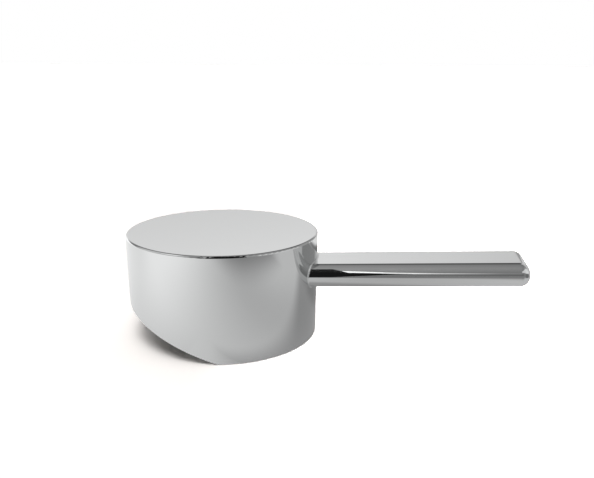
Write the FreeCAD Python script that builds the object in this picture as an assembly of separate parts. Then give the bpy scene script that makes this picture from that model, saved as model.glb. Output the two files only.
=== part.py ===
"""Single-lever mixer handle: a hollow round cap and a flat-oval lever cast in one piece,
with the grub screw that clamps it to the valve stem.

Frame: millimetres, Z up, the rim of the cap on Z = 0, the cap's axis on Z and the lever along +X.
"""
import FreeCAD, Part
import math
import os

Vector = FreeCAD.Vector

# Cap
cap_diameter = 47.0          # across the top edge
cap_height = 25.6
cap_draft = 1.0              # degrees, the outside narrows towards the rim
cap_edge_radius = 0.5        # rounding of the top edge
rim_edge_chamfer = 0.3       # on the outer edge of the rim and of its relief
wall_thickness = 2.6         # at the rim
roof_thickness = 3.0
core_draft = 1.5             # degrees, the cavity narrows towards the roof
core_corner_chamfer = 2.0    # between the cavity wall and the roof

# Slanted relief at the back of the rim, room for the cap to tip back as the lever is lifted
relief_angle = 19.4          # degrees
relief_start = 3.5           # where the slant starts, in front of the axis

# Lever
lever_reach = 73.2           # cap's axis to tip, along the lever
lever_width = 15.5
lever_thickness = 5.6
lever_height = 15.4          # rim to the middle of the lever, on the cap's axis
lever_rise = 2.7             # degrees
tip_edge_radius = 2.2        # rounding all round the end
root_fillet_radius = 0.4     # between lever and cap

# Boss under the roof, with the socket for the valve stem
stem_length_x = 8.0
stem_length_y = 10.0
stem_clearance = 0.15        # on each side of the stem
socket_cover = 5.0           # cap top to the end of the socket
socket_depth = 11.5
socket_lead_in = 0.6         # chamfer round the socket's mouth
boss_wall = 2.8              # round the socket
boss_corner_radius = 2.0

# Ribs from the boss to the wall
rib_thickness = 2.4
rib_depth = 6.0              # below the roof
rib_directions = (0, 90, 270)  # degrees from the lever

# Grub screw, in a tapped pad that runs from the boss to the back wall
screw_diameter = 5.0
screw_length = 8.0
screw_offset = 5.5           # boss mouth to screw axis
screw_setback = 0.3          # screw point to socket wall
screw_end_chamfer = 0.6
screw_point_land = 0.6       # flat ring round the hollow in the point
screw_cup_depth = 0.7
hex_across_flats = 2.5
hex_depth = 2.8
thread_clearance = 0.05      # radial, between screw and tapped hole
pad_wall = 2.2               # round the tapped hole
key_hole_clearance = 0.7     # radial, round the screw, in the plain hole through the back wall
key_hole_gap = 2.0           # driven end of the screw to the plain hole

# Sizes that follow
cap_radius = cap_diameter / 2
rim_radius = cap_radius - cap_height * math.tan(math.radians(cap_draft))
core_rim_radius = rim_radius - wall_thickness
roof_height = cap_height - roof_thickness
core_roof_radius = core_rim_radius - roof_height * math.tan(math.radians(core_draft))
tip_radius_limit = 0.45 * lever_thickness  # keeps a little of the end face between top and bottom
socket_length_x = stem_length_x + 2 * stem_clearance
socket_length_y = stem_length_y + 2 * stem_clearance
boss_mouth_height = cap_height - socket_cover - socket_depth
boss_length_x = socket_length_x + 2 * boss_wall
boss_length_y = socket_length_y + 2 * boss_wall
within_wall = core_rim_radius + wall_thickness / 2
within_roof = roof_height + roof_thickness / 2
screw_height = boss_mouth_height + screw_offset
tapped_radius = screw_diameter / 2 + thread_clearance
key_hole_radius = screw_diameter / 2 + key_hole_clearance
pad_radius = tapped_radius + pad_wall
screw_point_x = -socket_length_x / 2 - screw_setback
screw_head_x = screw_point_x - screw_length
key_hole_x = screw_head_x - key_hole_gap
tolerance = 1e-4             # for finding edges


def block(low, high):
    """Box between two opposite corners."""
    size = high - low
    return Part.makeBox(size.x, size.y, size.z, low)


def rod(radius, start_x, end_x):
    """Cylinder along X on the screw's axis."""
    return Part.makeCylinder(radius, abs(end_x - start_x), Vector(min(start_x, end_x), 0, screw_height),
                             Vector(1, 0, 0))


def lever_outline():
    """Flat-oval section, across the bar at its start."""
    radius = lever_thickness / 2
    flat = lever_width / 2 - radius

    def corner(side, level):
        return Vector(0, side * flat, level * radius)

    def round_side(side):
        return Part.Arc(corner(side, -1), Vector(0, side * lever_width / 2, 0), corner(side, 1)).toShape()

    def flat_side(level):
        return Part.LineSegment(corner(-1, level), corner(1, level)).toShape()

    return Part.Wire([flat_side(-1), round_side(1), flat_side(1), round_side(-1)])


def lever():
    """Bar from the cap's axis, rising a little to its rounded tip."""
    bar = Part.Face(lever_outline()).extrude(Vector(lever_reach, 0, 0))
    tip = [edge for edge in bar.Edges if edge.BoundBox.XMin > lever_reach - tolerance]
    bar = bar.makeFillet(min(tip_edge_radius, tip_radius_limit), tip)
    bar = bar.rotated(Vector(0, 0, 0), Vector(0, 1, 0), -lever_rise)
    return bar.translated(Vector(0, 0, lever_height))


def is_root(edge):
    """True where the lever's faces meet the cap's wall."""
    box = edge.BoundBox
    along_wall = box.YLength > tolerance
    return along_wall and box.XMin > 0 and box.XMax < cap_radius + root_fillet_radius


def outside():
    """Cap and lever as one solid, with the cast fillet where they meet."""
    cap = Part.makeCone(rim_radius, cap_radius, cap_height)
    cap = cap.makeFillet(cap_edge_radius, [edge for edge in cap.Edges if edge.BoundBox.ZMin > roof_height])
    joined = cap.fuse(lever())
    return joined.makeFillet(root_fillet_radius, [edge for edge in joined.Edges if is_root(edge)])


def relief():
    """Wedge that leaves the back of the rim slanted."""
    run = cap_diameter
    drop = run * math.tan(math.radians(relief_angle))
    start = Vector(relief_start, -cap_radius, 0)
    profile = Part.makePolygon([start, start + Vector(-run, 0, drop), start + Vector(-run, 0, 0), start])
    return Part.Face(profile).extrude(Vector(0, cap_diameter, 0))


def core():
    """The cavity under the roof."""
    hollow = Part.makeCone(core_rim_radius, core_roof_radius, roof_height)
    roof_edge = [edge for edge in hollow.Edges if edge.BoundBox.ZMin > roof_height - tolerance]
    return hollow.makeChamfer(core_corner_chamfer, roof_edge)


def boss():
    """Upright block round the stem socket."""
    half = Vector(boss_length_x / 2, boss_length_y / 2, 0)
    solid = block(Vector(0, 0, boss_mouth_height) - half, Vector(0, 0, within_roof) + half)
    upright = [edge for edge in solid.Edges if edge.BoundBox.ZLength > tolerance]
    return solid.makeFillet(boss_corner_radius, upright)


def screw_pad():
    """Round-bottomed pad from the boss to the back wall."""
    web = block(Vector(-within_wall, -pad_radius, screw_height), Vector(0, pad_radius, within_roof))
    return web.fuse(rod(pad_radius, -within_wall, 0))


def rib(direction):
    """Upright web from the boss to the wall."""
    web = block(Vector(0, -rib_thickness / 2, roof_height - rib_depth),
                Vector(within_wall, rib_thickness / 2, within_roof))
    return web.rotated(Vector(0, 0, 0), Vector(0, 0, 1), direction)


def stem_socket():
    """Space for the valve stem, open towards the rim."""
    half = Vector(socket_length_x / 2, socket_length_y / 2, 0)
    return block(-half, Vector(0, 0, boss_mouth_height + socket_depth) + half)


def screw_hole():
    """Tapped hole from the socket, opening into the plain hole for the key."""
    tapped = rod(tapped_radius, 0, key_hole_x)
    return tapped.fuse(rod(key_hole_radius, key_hole_x, -cap_diameter))


def on_socket_mouth(edge):
    """True for the edges round the mouth of the socket."""
    middle = edge.valueAt((edge.FirstParameter + edge.LastParameter) / 2)
    at_mouth = abs(middle.z - boss_mouth_height) < tolerance
    within_x = abs(middle.x) < (socket_length_x + boss_wall) / 2
    within_y = abs(middle.y) < (socket_length_y + boss_wall) / 2
    return at_mouth and within_x and within_y


def on_outer_rim(edge):
    """True for the outer edge of the rim and of its relief."""
    middle = edge.valueAt((edge.FirstParameter + edge.LastParameter) / 2)
    wall = rim_radius + middle.z * math.tan(math.radians(cap_draft))
    slant = max(0, relief_start - middle.x) * math.tan(math.radians(relief_angle))
    return abs(math.hypot(middle.x, middle.y) - wall) < tolerance and abs(middle.z - slant) < tolerance


def handle_body():
    """The casting."""
    inside = [boss(), screw_pad()] + [rib(direction) for direction in rib_directions]
    body = outside().cut(core()).fuse(inside)
    body = body.cut([relief(), stem_socket(), screw_hole()])
    body = body.makeChamfer(rim_edge_chamfer, [edge for edge in body.Edges if on_outer_rim(edge)])
    return body.makeChamfer(socket_lead_in, [edge for edge in body.Edges if on_socket_mouth(edge)])


def grub_screw():
    """Set screw with a cup point and a hexagon socket."""
    radius = screw_diameter / 2
    end_radius = radius - screw_end_chamfer

    def point(depth, from_axis):
        return Vector(screw_point_x - depth, 0, screw_height + from_axis)

    profile = [point(screw_cup_depth, 0), point(0, end_radius - screw_point_land), point(0, end_radius),
               point(screw_end_chamfer, radius), point(screw_length - screw_end_chamfer, radius),
               point(screw_length, end_radius), point(screw_length, 0)]
    shank = Part.Face(Part.makePolygon(profile + profile[:1]))
    shank = shank.revolve(Vector(0, 0, screw_height), Vector(1, 0, 0), 360)
    corner = hex_across_flats / math.sqrt(3)
    turns = [math.radians(60 * number) for number in range(7)]
    hexagon = [Vector(screw_head_x, corner * math.cos(turn), screw_height + corner * math.sin(turn))
               for turn in turns]
    return shank.cut(Part.Face(Part.makePolygon(hexagon)).extrude(Vector(hex_depth, 0, 0)))


os.makedirs("parts", exist_ok=True)
for name, shape in (("handle_body", handle_body()), ("grub_screw", grub_screw())):
    print(name, "solids", len(shape.Solids), "valid", shape.isValid(), "volume", round(shape.Volume, 1))
    shape.exportStep("parts/" + name + ".step")
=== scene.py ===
import math
import bpy
from mathutils import Matrix, Vector


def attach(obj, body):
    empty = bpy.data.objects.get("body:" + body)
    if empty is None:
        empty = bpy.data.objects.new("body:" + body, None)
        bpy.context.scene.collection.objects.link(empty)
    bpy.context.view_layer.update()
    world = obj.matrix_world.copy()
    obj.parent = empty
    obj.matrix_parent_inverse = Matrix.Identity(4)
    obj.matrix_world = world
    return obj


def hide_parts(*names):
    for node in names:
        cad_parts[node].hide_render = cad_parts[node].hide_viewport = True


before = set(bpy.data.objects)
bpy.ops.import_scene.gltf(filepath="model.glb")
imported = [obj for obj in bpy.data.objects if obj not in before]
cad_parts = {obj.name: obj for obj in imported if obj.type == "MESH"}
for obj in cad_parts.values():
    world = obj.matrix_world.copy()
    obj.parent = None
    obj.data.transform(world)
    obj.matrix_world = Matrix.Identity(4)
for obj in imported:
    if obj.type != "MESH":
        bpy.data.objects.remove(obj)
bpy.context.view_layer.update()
mm = 0.001
noiseRange = (0.35, 0.65)  # where most values of a noise texture lie
print("frame loaded:", sorted(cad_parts))


def linear(hexColour):
    channels = [int(hexColour[i:i + 2], 16) / 255 for i in (1, 3, 5)]
    return [c / 12.92 if c <= 0.04045 else ((c + 0.055) / 1.055) ** 2.4 for c in channels] + [1.0]


def addNode(tree, kind, inputs=None, **settings):
    made = tree.nodes.new(kind)
    for name, value in settings.items():
        setattr(made, name, value)
    for socket, value in (inputs or {}).items():
        if isinstance(value, bpy.types.NodeSocket):
            tree.links.new(value, made.inputs[socket])
        else:
            made.inputs[socket].default_value = value
    return made


def newMaterial(name):
    material = bpy.data.materials.new(name)
    material.use_nodes = True
    material.node_tree.nodes.clear()
    return material, material.node_tree


def addMesh(name, corners, faces, material):
    mesh = bpy.data.meshes.new(name)
    mesh.from_pydata(corners, [], faces)
    mesh.materials.append(material)
    made = bpy.data.objects.new(name, mesh)
    bpy.context.scene.collection.objects.link(made)
    return made


# Camera, at the photograph's place
camera = {
    "eye": (39.10, -166.44, 68.68),  # mm, in the part's frame
    "yaw": -7.074,                   # degrees to the right of +Y
    "tilt": 14.937,                  # degrees down
    "roll": 0.243,                   # degrees
    "focal": 711.1,                  # pixels
    "imageWidth": 594,               # pixels
    "sensorWidth": 36.0,             # mm
    "clip": (0.001, 100),            # m, near and far
}


def addCamera(c):
    data = bpy.data.cameras.new("photoCamera")
    data.sensor_width = c["sensorWidth"]
    data.lens = c["focal"] / c["imageWidth"] * c["sensorWidth"]
    data.clip_start, data.clip_end = c["clip"]
    eye = bpy.data.objects.new("photoCamera", data)
    turn = (Matrix.Rotation(math.radians(-c["yaw"]), 4, "Z")
            @ Matrix.Rotation(math.radians(90 - c["tilt"]), 4, "X")
            @ Matrix.Rotation(math.radians(c["roll"]), 4, "Z"))
    eye.matrix_world = Matrix.Translation(Vector(c["eye"]) * mm) @ turn
    bpy.context.scene.collection.objects.link(eye)
    bpy.context.scene.camera = eye


addCamera(camera)
print("camera placed")

# Chrome plate, electroplated bright chromium over a polished casting: a hard neutral mirror with the long
# faint waves that hand polishing leaves. Bright plate hardly reaches inside the cap, so the cast zinc skin
# stays there, dull and grained
chrome = {
    "colour": "#d3d4d4",
    "roughness": (0.03, 0.055),  # clean to slightly hazed
    "haze": 6.0,            # mm, size of the hazed patches
    "hazeDetail": 4.0,      # octaves of noise
    "waveLength": 9.0,      # mm, between crests of the polished surface
    "waveHeight": 0.0015,   # mm
    "waveDetail": 1.0,
    "waveFalloff": 0.4,     # share of each octave in the next
    "skinColour": "#b6b6b2",
    "skinRoughness": 0.5,
    "skinRadius": 20.8,     # mm from the cap's axis, where the bright plate ends
    "skinHeight": 23.6,     # mm above the rim, between the roof's underside and its top
    "skinEdge": 0.7,        # mm, half the soft edge between the two
    "grain": 0.45,          # mm, of the cast skin
    "grainHeight": 0.012,   # mm
    "grainDetail": 3.0,
    "threadHeight": 14.6,   # mm, axis of the tapped hole above the rim
    "threadRadius": 2.8,    # mm, takes in the tapped hole
    "threadPitch": 0.8,     # mm
}


def chromePlate(c):
    material, tree = newMaterial("chromePlatePolished")
    place = addNode(tree, "ShaderNodeTexCoord")
    axes = addNode(tree, "ShaderNodeSeparateXYZ", {0: place.outputs["Object"]})
    waves = addNode(tree, "ShaderNodeTexNoise", {
        "Vector": place.outputs["Object"], "Scale": 1 / (c["waveLength"] * mm),
        "Detail": c["waveDetail"], "Roughness": c["waveFalloff"]})
    grain = addNode(tree, "ShaderNodeTexNoise", {
        "Vector": place.outputs["Object"], "Scale": 1 / (c["grain"] * mm), "Detail": c["grainDetail"]})
    haze = addNode(tree, "ShaderNodeTexNoise", {
        "Vector": place.outputs["Object"], "Scale": 1 / (c["haze"] * mm), "Detail": c["hazeDetail"]})

    # the skin's place: inside the wall, under the roof
    flat = addNode(tree, "ShaderNodeVectorMath", {
        0: place.outputs["Object"], 1: (1, 1, 0)}, operation="MULTIPLY")
    radius = addNode(tree, "ShaderNodeVectorMath", {0: flat.outputs[0]}, operation="LENGTH")
    ragged = addNode(tree, "ShaderNodeMath", {
        0: haze.outputs["Fac"], 1: c["skinEdge"] * mm, 2: radius.outputs["Value"]}, operation="MULTIPLY_ADD")
    within = addNode(tree, "ShaderNodeMapRange", {
        "Value": ragged.outputs[0], "From Min": (c["skinRadius"] + c["skinEdge"]) * mm,
        "From Max": (c["skinRadius"] - c["skinEdge"]) * mm})
    below = addNode(tree, "ShaderNodeMath", {
        0: axes.outputs["Z"], 1: c["skinHeight"] * mm}, operation="LESS_THAN")
    skin = addNode(tree, "ShaderNodeMath", {0: within.outputs[0], 1: below.outputs[0]}, operation="MULTIPLY")

    # the tapped hole's thread
    fromAxis = addNode(tree, "ShaderNodeVectorMath", {
        0: place.outputs["Object"], 1: (0, 0, c["threadHeight"] * mm)}, operation="SUBTRACT")
    across = addNode(tree, "ShaderNodeSeparateXYZ", {0: fromAxis.outputs[0]})
    turn = addNode(tree, "ShaderNodeMath", {
        0: across.outputs["Z"], 1: across.outputs["Y"]}, operation="ARCTAN2")
    along = addNode(tree, "ShaderNodeMath", {
        0: turn.outputs[0], 1: -c["threadPitch"] * mm / (2 * math.pi), 2: across.outputs["X"]},
        operation="MULTIPLY_ADD")
    thread = addNode(tree, "ShaderNodeMath", {
        0: along.outputs[0], 1: c["threadPitch"] * mm / 2}, operation="PINGPONG")
    offAxis = addNode(tree, "ShaderNodeVectorMath", {
        0: fromAxis.outputs[0], 1: (0, 1, 1)}, operation="MULTIPLY")
    offAxis = addNode(tree, "ShaderNodeVectorMath", {0: offAxis.outputs[0]}, operation="LENGTH")
    inHole = addNode(tree, "ShaderNodeMath", {
        0: offAxis.outputs["Value"], 1: c["threadRadius"] * mm}, operation="LESS_THAN")
    inHole = addNode(tree, "ShaderNodeMath", {0: inHole.outputs[0], 1: skin.outputs[0]}, operation="MULTIPLY")

    bump = addNode(tree, "ShaderNodeBump", {
        "Height": waves.outputs["Fac"], "Distance": c["waveHeight"] * mm, "Strength": 1.0})
    bump = addNode(tree, "ShaderNodeBump", {
        "Height": grain.outputs["Fac"], "Distance": c["grainHeight"] * mm, "Strength": skin.outputs[0],
        "Normal": bump.outputs["Normal"]})
    bump = addNode(tree, "ShaderNodeBump", {
        "Height": thread.outputs[0], "Distance": 1.0, "Strength": inHole.outputs[0],
        "Normal": bump.outputs["Normal"]})  # its height is in metres already
    colour = addNode(tree, "ShaderNodeMixRGB", {
        "Fac": skin.outputs[0], "Color1": linear(c["colour"]), "Color2": linear(c["skinColour"])})
    polish = addNode(tree, "ShaderNodeMapRange", {
        "Value": haze.outputs["Fac"], "From Min": noiseRange[0], "From Max": noiseRange[1],
        "To Min": c["roughness"][0], "To Max": c["roughness"][1]})
    roughness = addNode(tree, "ShaderNodeMapRange", {
        "Value": skin.outputs[0], "To Min": polish.outputs[0], "To Max": c["skinRoughness"]})
    surface = addNode(tree, "ShaderNodeBsdfPrincipled", {
        "Base Color": colour.outputs[0], "Metallic": 1.0, "Roughness": roughness.outputs[0],
        "Normal": bump.outputs["Normal"]})
    addNode(tree, "ShaderNodeOutputMaterial", {"Surface": surface.outputs["BSDF"]})
    return material


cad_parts["handle_body"].material_slots[0].material = chromePlate(chrome)
print("chrome plate on the handle")

# Grub screw, M5 x 8: a rolled thread between two bevelled ends, a broached hexagon and a cup point
screw = {
    "point": -4.45,         # mm along X
    "length": 8.0,
    "height": 14.6,         # mm, its axis above the rim
    "radius": 2.5,
    "rootRadius": 2.02,
    "pitch": 0.8,
    "crestFlat": 0.1,       # mm along the thread's crest
    "flankAngle": 30,       # degrees, each flank from upright
    "endRadius": 1.9,
    "cupRadius": 1.3,
    "cupDepth": 0.7,
    "hexFlats": 2.5,        # mm across
    "hexDepth": 2.8,
    "hexBevel": 0.12,
    "around": 60,           # corners round the screw, ten to each side of the hexagon
    "perTurn": 16,          # rows of faces to a turn of the thread
    "smoothUpTo": 35,       # degrees between faces
    "colour": "#9a9a9b",
    "roughness": (0.24, 0.36),
    "patchDetail": 3.0,     # octaves of noise
    "toolMarks": 0.07,      # mm, between the lines of the turned ends
    "markHeight": 0.002,    # mm
}


def screwSteel(c):
    # Stainless steel A2, thread rolled and ends turned: a darker, softer mirror than chrome, with fine lines
    material, tree = newMaterial("stainlessSteelMachined")
    place = addNode(tree, "ShaderNodeTexCoord")
    fromAxis = addNode(tree, "ShaderNodeVectorMath", {
        0: place.outputs["Object"], 1: (0, 0, c["height"] * mm)}, operation="SUBTRACT")
    across = addNode(tree, "ShaderNodeVectorMath", {0: fromAxis.outputs[0], 1: (0, 1, 1)}, operation="MULTIPLY")
    radius = addNode(tree, "ShaderNodeVectorMath", {0: across.outputs[0]}, operation="LENGTH")
    lines = addNode(tree, "ShaderNodeMath", {
        0: radius.outputs["Value"], 1: c["toolMarks"] * mm / 2}, operation="PINGPONG")
    lines = addNode(tree, "ShaderNodeMath", {
        0: lines.outputs[0], 1: 2 / (c["toolMarks"] * mm)}, operation="MULTIPLY")
    bump = addNode(tree, "ShaderNodeBump", {
        "Height": lines.outputs[0], "Distance": c["markHeight"] * mm, "Strength": 1.0})
    patches = addNode(tree, "ShaderNodeTexNoise", {
        "Vector": place.outputs["Object"], "Scale": 1 / (c["pitch"] * mm), "Detail": c["patchDetail"]})
    roughness = addNode(tree, "ShaderNodeMapRange", {
        "Value": patches.outputs["Fac"], "From Min": noiseRange[0], "From Max": noiseRange[1],
        "To Min": c["roughness"][0], "To Max": c["roughness"][1]})
    surface = addNode(tree, "ShaderNodeBsdfPrincipled", {
        "Base Color": linear(c["colour"]), "Metallic": 1.0, "Roughness": roughness.outputs[0],
        "Normal": bump.outputs["Normal"]})
    addNode(tree, "ShaderNodeOutputMaterial", {"Surface": surface.outputs["BSDF"]})
    return material


def threadRadius(c, depth, turn):
    fromCrest = abs((-depth / c["pitch"] - turn) % 1 - 0.5) * c["pitch"]
    onFlank = max(0, fromCrest - c["crestFlat"] / 2)
    flank = c["radius"] - onFlank / math.tan(math.radians(c["flankAngle"]))
    bevel = c["endRadius"] + min(depth, c["length"] - depth)
    return min(max(flank, c["rootRadius"]), bevel)


def addGrubScrew(c):
    turns = [step / c["around"] for step in range(c["around"])]
    hexagon = [c["hexFlats"] / 2 / math.cos(math.radians(turn * 360 % 60 - 30)) for turn in turns]
    rows = round(c["length"] / c["pitch"] * c["perTurn"])
    plain = [c["endRadius"]] * c["around"]
    loops = [(0, [c["cupRadius"]] * c["around"]), (0, plain)]  # depth from the point, radii
    for row in range(1, rows):
        depth = c["length"] * row / rows
        loops.append((depth, [threadRadius(c, depth, turn) for turn in turns]))
    loops.append((c["length"], plain))
    loops.append((c["length"], [radius + c["hexBevel"] for radius in hexagon]))
    loops.append((c["length"] - c["hexBevel"], hexagon))
    loops.append((c["length"] - c["hexDepth"], hexagon))
    corners = []
    for depth, radii in loops:
        for turn, radius in zip(turns, radii):
            angle = 2 * math.pi * turn
            side, up = radius * math.cos(angle), radius * math.sin(angle)
            corners.append((c["point"] - depth, side, c["height"] + up))
    faces = []
    for low in range(0, (len(loops) - 1) * c["around"], c["around"]):
        for step in range(c["around"]):
            following = (step + 1) % c["around"]
            faces.append((low + step, low + c["around"] + step, low + c["around"] + following, low + following))
    last = len(corners) - c["around"]
    corners.append((c["point"] - c["cupDepth"], 0, c["height"]))
    corners.append((c["point"] - c["length"] + c["hexDepth"], 0, c["height"]))
    for step in range(c["around"]):
        following = (step + 1) % c["around"]
        faces.append((len(corners) - 2, step, following))
        faces.append((len(corners) - 1, last + following, last + step))
    corners = [tuple(Vector(corner) * mm) for corner in corners]
    piece = addMesh("grubScrewThreaded", corners, faces, screwSteel(c))
    piece.data.shade_smooth()
    piece.data.set_sharp_from_angle(angle=math.radians(c["smoothUpTo"]))
    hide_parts("grub_screw")
    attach(piece, "root")


addGrubScrew(screw)
print("grub screw threaded")


def mirroredRays(tree, ray):
    # 1 for what metal mirrors straight to the camera, 0 once light has been scattered by a matt surface
    mirrored = addNode(tree, "ShaderNodeMath", {
        0: ray.outputs["Is Glossy Ray"], 1: ray.outputs["Is Transmission Ray"]}, operation="MAXIMUM")
    return addNode(tree, "ShaderNodeMath", {
        0: mirrored.outputs[0], 1: ray.outputs["Diffuse Depth"]}, operation="SUBTRACT", use_clamp=True)


# Stage floor, a matt paper sheet: it shows white with the shadow under the slanted rim. Metal sees instead a
# glowing
# copy of it with painted light and shade: pale at the left, falling to grey at the right, with painted shadows
# round the part
floor = {
    "half": 3.0,                 # m
    "colour": "#fafafa",
    "lift": (2.2, 2.12, 2.06),   # what lifts the lit sheet to white for the camera, warm in the shade
    "paintedLiftSides": (1.0, 3.0),     # factor on that at the left and at the right: painted light that clears the shadow right of the cap
    "liftFrom": 0.0,             # mm along X
    "liftTo": 28.0,
    # painted light on the floor as metal sees it, falling from left to right
    "paintedLightLeft": 1.17,
    "paintedLightRight": 0.53,
    "paintedFalloffFrom": -80.0,           # mm along X, where the painted light starts to fall
    "paintedFalloffTo": 60.0,
    "paintedLightUnderLever": 0.17,           # painted light that the tone gains again under the lever
    "leverFrom": 30.0,           # mm along X
    "leverTo": 80.0,
    # painted shadows: direction, mm where the shade starts and is full, factor there, and the sides that it
    # spares
    "paintedShades": (
        ((0.707, -0.707, 0), 66, 108, 0.40, (((0.555, 0.832, 0), -12, 32),)),            # painted shadow towards the camera
        ((-0.5, 0.866, 0), -33, -20, 0.6, (((-1, 0, 0), -24, 0), ((0, 1, 0), 40, 60))),  # painted shadow right of the cap
        ((0, 1, 0), 12, 24, 0.75, (((-1, 0, 0), -35, -25), ((0, 1, 0), 40, 60))),        # painted shadow behind the lever
        ((0, 1, 0), 32, 68, 0.3, (((-1, 0, 0), -45, 20), ((0.35, 0.94, 0), 82, 92))),    # painted shadow further behind it
        ((0.35, 0.94, 0), 76, 92, 1.45, ()),                                             # far behind, painted light
        ((0, 1, 0), -45, 0, 0.88, (((1, 0, 0), -25, -5),)),                              # painted shadow left of the cap
    ),
}


def addFloor(c):
    material, tree = newMaterial("floorPaperMatt")
    ray = addNode(tree, "ShaderNodeLightPath")
    place = addNode(tree, "ShaderNodeTexCoord")
    axes = addNode(tree, "ShaderNodeSeparateXYZ", {0: place.outputs["Object"]})
    # painted light, falling from left to right
    across = addNode(tree, "ShaderNodeMapRange", {
        "Value": axes.outputs["X"], "From Min": c["paintedFalloffFrom"] * mm, "From Max": c["paintedFalloffTo"] * mm,
        "To Min": c["paintedLightLeft"], "To Max": c["paintedLightRight"]}, interpolation_type="SMOOTHSTEP")
    paintedGain = addNode(tree, "ShaderNodeMapRange", {
        "Value": axes.outputs["X"], "From Min": c["leverFrom"] * mm, "From Max": c["leverTo"] * mm,
        "To Max": c["paintedLightUnderLever"]}, interpolation_type="SMOOTHSTEP")
    tone = addNode(tree, "ShaderNodeMath", {0: across.outputs[0], 1: paintedGain.outputs[0]}, operation="ADD")
    # painted shadows round the part, each spared at its sides
    for direction, start, full, factor, spared in c["paintedShades"]:
        paintedShade = None
        ranges = [(direction, start, full, (1, factor))] + [(*side, (0, 1)) for side in spared]
        for way, low, high, ends in ranges:
            along = addNode(tree, "ShaderNodeVectorMath", {
                0: place.outputs["Object"], 1: way}, operation="DOT_PRODUCT")
            part = addNode(tree, "ShaderNodeMapRange", {
                "Value": along.outputs["Value"], "From Min": low * mm, "From Max": high * mm,
                "To Min": ends[0], "To Max": ends[1]}, interpolation_type="SMOOTHSTEP")
            paintedShade = part if paintedShade is None else addNode(tree, "ShaderNodeMath", {
                0: paintedShade.outputs[0], 1: part.outputs[0]}, operation="MAXIMUM")
        tone = addNode(tree, "ShaderNodeMath", {0: tone.outputs[0], 1: paintedShade.outputs[0]}, operation="MULTIPLY")
    mirrored = mirroredRays(tree, ray)
    # metal sees the floor glow with this painted light and shade
    paintedFloorGlow = addNode(tree, "ShaderNodeEmission", {"Strength": tone.outputs[0]})
    plain = addNode(tree, "ShaderNodeBsdfDiffuse", {"Color": linear(c["colour"])})
    # painted light for the camera: the sheet is lifted three times as much at the right, which clears the
    # shadow there
    paintedLiftRight = addNode(tree, "ShaderNodeMapRange", {
        "Value": axes.outputs["X"], "From Min": c["liftFrom"] * mm, "From Max": c["liftTo"] * mm,
        "To Min": c["paintedLiftSides"][0], "To Max": c["paintedLiftSides"][1]}, interpolation_type="SMOOTHSTEP")
    lift = addNode(tree, "ShaderNodeVectorMath", {0: c["lift"], "Scale": paintedLiftRight.outputs[0]}, operation="SCALE")
    lifted = addNode(tree, "ShaderNodeBsdfDiffuse", {"Color": lift.outputs[0]})
    seen = addNode(tree, "ShaderNodeMixShader", {
        0: ray.outputs["Is Camera Ray"], 1: plain.outputs[0], 2: lifted.outputs[0]})
    top = addNode(tree, "ShaderNodeMixShader", {
        0: mirrored.outputs[0], 1: seen.outputs[0], 2: paintedFloorGlow.outputs[0]})
    side = addNode(tree, "ShaderNodeNewGeometry")
    clear = addNode(tree, "ShaderNodeBsdfTransparent")
    both = addNode(tree, "ShaderNodeMixShader", {
        0: side.outputs["Backfacing"], 1: top.outputs[0], 2: clear.outputs[0]})  # open from below
    addNode(tree, "ShaderNodeOutputMaterial", {"Surface": both.outputs[0]})
    half = c["half"]
    corners = [(-half, -half, 0), (half, -half, 0), (half, half, 0), (-half, half, 0)]
    sheet = addMesh("floor", corners, [(0, 1, 2, 3)], material)


addFloor(floor)

# Room: white to the camera, lit by two soft lights from above. Metal sees a white backdrop, a dim gap over it
# and a grey ceiling, lightest at the left
room = {
    # direction, cosines from there where the light ends and is full, strength
    "lights": (
        ((0.0, -0.45, 0.89), 0.95, 0.99, 5.2),  # softbox over the camera
        ((-0.05, 0.6, 0.8), 0.2, 0.9, 0.48),    # white ceiling at the back
    ),
    # degrees from the back horizon over the top, tone
    "arc": ((0, 0.72), (11, 0.77), (17, 0.97), (24, 0.38), (31, 0.14), (44, 0.15), (56, 0.32), (100, 0.41),
            (118, 0.38), (150, 0.32), (180, 0.22)),
    # share of X in the direction, factor
    "sides": ((-1, 2.0), (-0.6, 1.7), (-0.4, 0.92), (-0.1, 1.0), (0.15, 0.79), (0.4, 0.7), (0.6, 1.1),
              (1, 1.25)),
}


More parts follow.
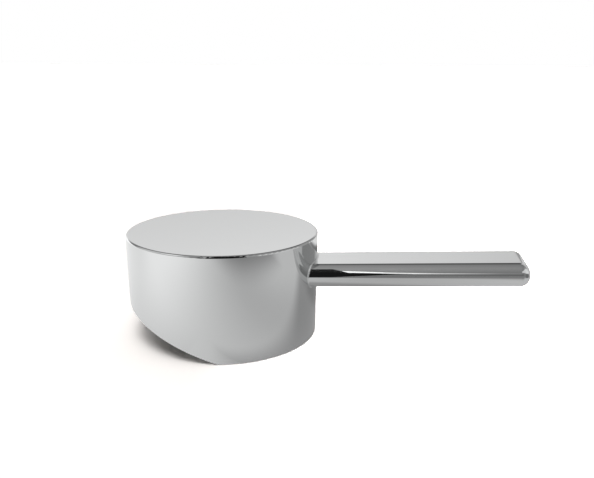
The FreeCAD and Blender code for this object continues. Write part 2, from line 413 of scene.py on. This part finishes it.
def addRoom(c):
    world = bpy.data.worlds.new("room")
    world.use_nodes = True
    tree = world.node_tree
    tree.nodes.clear()
    ray = addNode(tree, "ShaderNodeLightPath")
    place = addNode(tree, "ShaderNodeTexCoord")
    axes = addNode(tree, "ShaderNodeSeparateXYZ", {0: place.outputs["Generated"]})
    arc = addNode(tree, "ShaderNodeMath", {0: axes.outputs["Z"], 1: axes.outputs["Y"]}, operation="ARCTAN2")
    ramps = []
    for value, low, high, tones in ((arc, 0, 180, c["arc"]), (axes, -1, 1, c["sides"])):
        unit = math.radians(1) if value == arc else 1
        share = addNode(tree, "ShaderNodeMapRange", {
            "Value": value.outputs[0], "From Min": low * unit, "From Max": high * unit})
        ramp = addNode(tree, "ShaderNodeValToRGB", {0: share.outputs[0]})
        stops = ramp.color_ramp.elements
        while len(stops) < len(tones):
            stops.new(0.5)
        for stop, (at, tone) in zip(stops, tones):
            stop.position = (at - low) / (high - low)
        for stop, (at, tone) in zip(stops, tones):
            stop.color = (tone, tone, tone, 1)
        ramps.append(ramp)
    mirrored = mirroredRays(tree, ray)
    overhead = None
    for direction, low, high, strength in c["lights"]:
        facing = addNode(tree, "ShaderNodeVectorMath", {
            0: place.outputs["Generated"], 1: Vector(direction).normalized()}, operation="DOT_PRODUCT")
        part = addNode(tree, "ShaderNodeMapRange", {
            "Value": facing.outputs["Value"], "From Min": low, "From Max": high, "To Max": strength})
        overhead = part if overhead is None else addNode(tree, "ShaderNodeMath", {
            0: overhead.outputs[0], 1: part.outputs[0]}, operation="ADD")
    lit = addNode(tree, "ShaderNodeBackground", {"Color": (1, 1, 1, 1), "Strength": overhead.outputs[0]})
    white = addNode(tree, "ShaderNodeBackground", {"Color": (1, 1, 1, 1), "Strength": 1.0})
    around = addNode(tree, "ShaderNodeBackground", {
        "Color": ramps[0].outputs[0], "Strength": ramps[1].outputs[0]})
    seen = addNode(tree, "ShaderNodeMixShader", {
        0: ray.outputs["Is Camera Ray"], 1: lit.outputs[0], 2: white.outputs[0]})
    both = addNode(tree, "ShaderNodeMixShader", {
        0: mirrored.outputs[0], 1: seen.outputs[0], 2: around.outputs[0]})
    addNode(tree, "ShaderNodeOutputWorld", {"Surface": both.outputs[0]})
    bpy.context.scene.world = world


addRoom(room)

# Cards that only metal sees: beside the camera a dark one with a light strip along its sloping top, a flag over
# the cap's front edge, three round the lever's tip, and a light and a grey one far to the right. A card with a
# fade goes from its tone to its far tone along X
cards = {
    "darkFront": {
        "corners": ((-50, -165, 0), (15, -165, 0), (42, -165, 80), (48, -165, 92), (36, -165, 107),
                    (22, -165, 130), (7, -165, 147), (-50, -165, 330)),
        "tone": 0.25,
        "farTone": 0.012,
        "fade": (-50, 0),        # mm
    },
    "lightFront": {
        "corners": ((-10, -167, 140), (7, -167, 146), (22, -167, 129), (36, -167, 106), (48, -167, 91),
                    (60, -167, 86), (100, -167, 80), (100, -167, 100), (60, -167, 110), (36, -167, 138),
                    (7, -167, 225), (-10, -167, 265)),
        "tone": 1.65,
        "farTone": 0.35,
        "fade": (34, 90),
    },
    "rimFlag": {
        "corners": ((2.6, -46, 27), (32, -46, 27), (22, -19, 63), (1.1, -19, 63)),
        "tone": 0.012,
    },
    "lightRight": {
        "corners": ((350, -210, 0), (350, 175, 0), (350, 175, 225), (350, -210, 225)),
        "tone": 0.8,
    },
    "tipDark": {
        "corners": ((90, -23, 12), (95, -3, 12), (95, -3, 22), (90, -23, 27)),
        "tone": 0.2,
    },
    "tipLight": {
        "corners": ((75, -27, 31), (82.3, -17.25, 27), (86.9, -11, 23), (91.3, -5.1, 20.3), (91.3, -5.1, 40),
                    (75, -27, 38)),
        "tone": 0.7,
        "farTone": 1.05,
        "fade": (75, 91),
    },
    "tipBehind": {
        "corners": ((130, 6.5, 10), (79.8, 24.9, 10), (79.8, 24.9, 58), (130, 6.5, 58)),
        "tone": 0.75,
    },
    "greyRight": {
        "corners": ((350, 178, 0), (150, 330, 0), (150, 330, 300), (350, 178, 300)),
        "tone": 0.4,
    },
}


def addCard(name, c):
    material, tree = newMaterial(name)
    tone = c["tone"]
    if "fade" in c:
        place = addNode(tree, "ShaderNodeTexCoord")
        axes = addNode(tree, "ShaderNodeSeparateXYZ", {0: place.outputs["Object"]})
        tone = addNode(tree, "ShaderNodeMapRange", {
            "Value": axes.outputs["X"], "From Min": c["fade"][0] * mm, "From Max": c["fade"][1] * mm,
            "To Min": c["tone"], "To Max": c["farTone"]}).outputs[0]
    glow = addNode(tree, "ShaderNodeEmission", {"Strength": tone})
    addNode(tree, "ShaderNodeOutputMaterial", {"Surface": glow.outputs[0]})
    corners = [tuple(Vector(corner) * mm) for corner in c["corners"]]
    card = addMesh(name, corners, [tuple(range(len(corners)))], material)
    card.visible_camera = False
    card.visible_diffuse = False
    card.visible_shadow = False


for cardName, card in cards.items():
    addCard(cardName, card)

# Lamp at the front left, for the glints on the cap's edge
lamp = {
    "place": (-470, -320, 560),  # mm
    "size": 320,                 # mm
    "power": 0.2,                # W
}


def addLamp(c):
    data = bpy.data.lights.new("softLamp", "AREA")
    data.shape = "SQUARE"
    data.size = c["size"] * mm
    data.energy = c["power"]
    made = bpy.data.objects.new("softLamp", data)
    made.location = Vector(c["place"]) * mm
    made.rotation_euler = (-made.location).to_track_quat("-Z", "Y").to_euler()
    made.visible_diffuse = False
    bpy.context.scene.collection.objects.link(made)


addLamp(lamp)
print("stage lit")

bpy.context.scene.view_settings.view_transform = "Standard"
